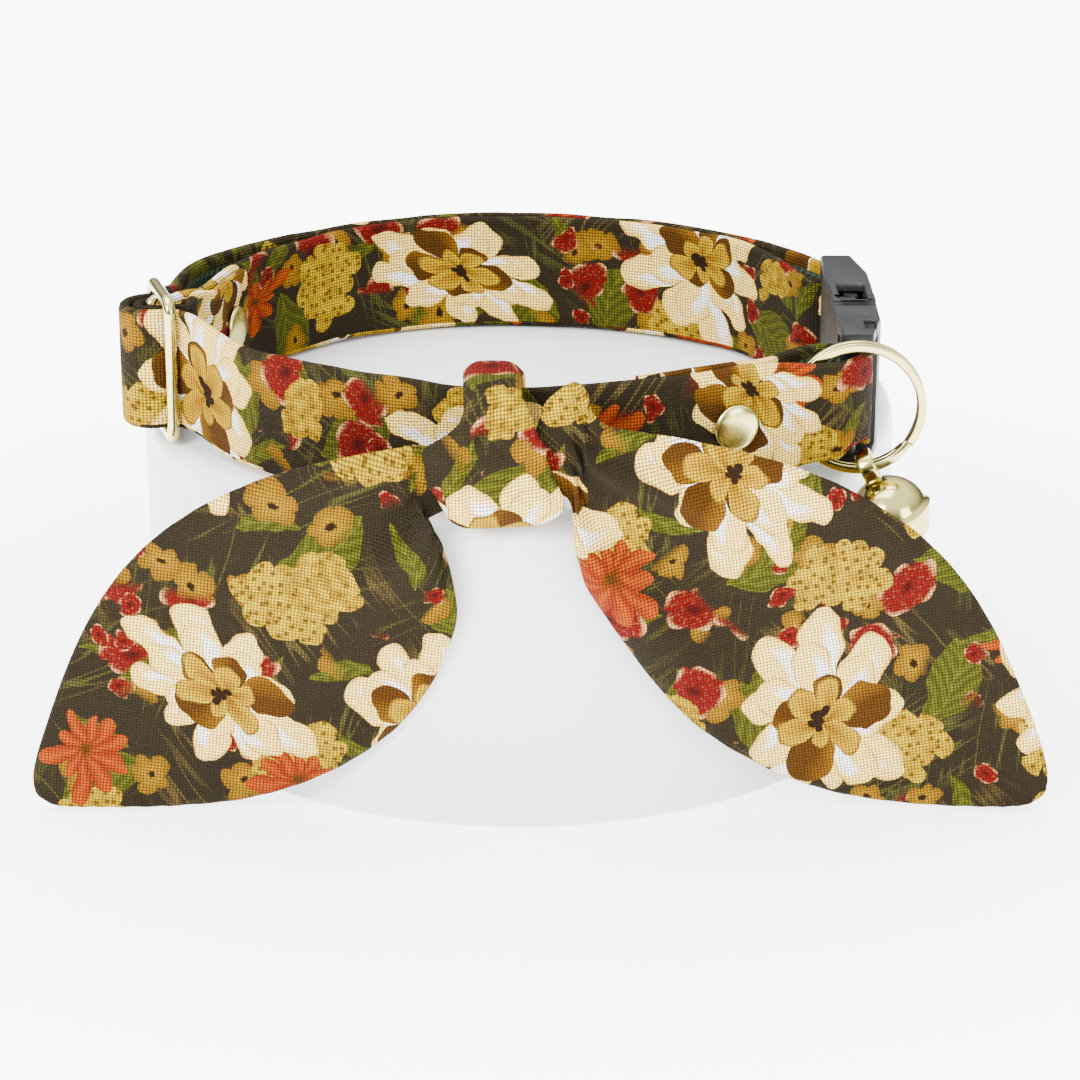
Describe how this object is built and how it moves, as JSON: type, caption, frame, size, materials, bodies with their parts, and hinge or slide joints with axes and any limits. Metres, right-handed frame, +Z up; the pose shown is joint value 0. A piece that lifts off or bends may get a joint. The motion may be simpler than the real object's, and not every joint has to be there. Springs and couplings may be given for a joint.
{
  "type": "bow tie pet collar on a plain round stand",
  "caption": "Pet collar of printed cotton with a bow tie, gold slide, split ring, bell and black side-release buckle, shown on a plain round white stand.",
  "frame": {"origin": "centre of the stand's flat base", "axes": "+Z up, +X along the bow towards the buckle's side, -Y towards the bow's front"},
  "size_m": [0.1285, 0.1065, 0.0611],
  "materials": {
    "stand": "frosted white acrylic-like drum, satin",
    "strap": "webbing faced with printed plain-weave cotton, matt",
    "slide": "pale gold plated wire, polished",
    "slide_rivet": "pale gold plated cap, polished",
    "buckle_socket": "black moulded plastic, matt",
    "buckle_plug": "black moulded plastic, matt",
    "strap_rivet": "pale gold plated cap, polished",
    "split_ring": "pale gold plated flat wire, polished",
    "bell": "pale gold plated shell, satin",
    "bell_ball": "plain steel-like ball, pale gold in tone",
    "bow_tail_left": "printed plain-weave cotton, doubled, matt",
    "bow_tail_right": "printed plain-weave cotton, doubled, matt",
    "bow_knot": "printed plain-weave cotton, folded, matt"
  },
  "bodies": {
    "root": {"stand": "stand", "strap": "strap", "slide": "slide", "slide_rivet": "slide_rivet", "buckle_socket": "buckle_socket", "buckle_plug": "buckle_plug", "strap_rivet": "strap_rivet", "split_ring": "split_ring", "bell": "bell", "bell_ball": "bell_ball", "bow_tail_left": "bow_tail_left", "bow_tail_right": "bow_tail_right", "bow_knot": "bow_knot"}
  },
  "joints": []
}
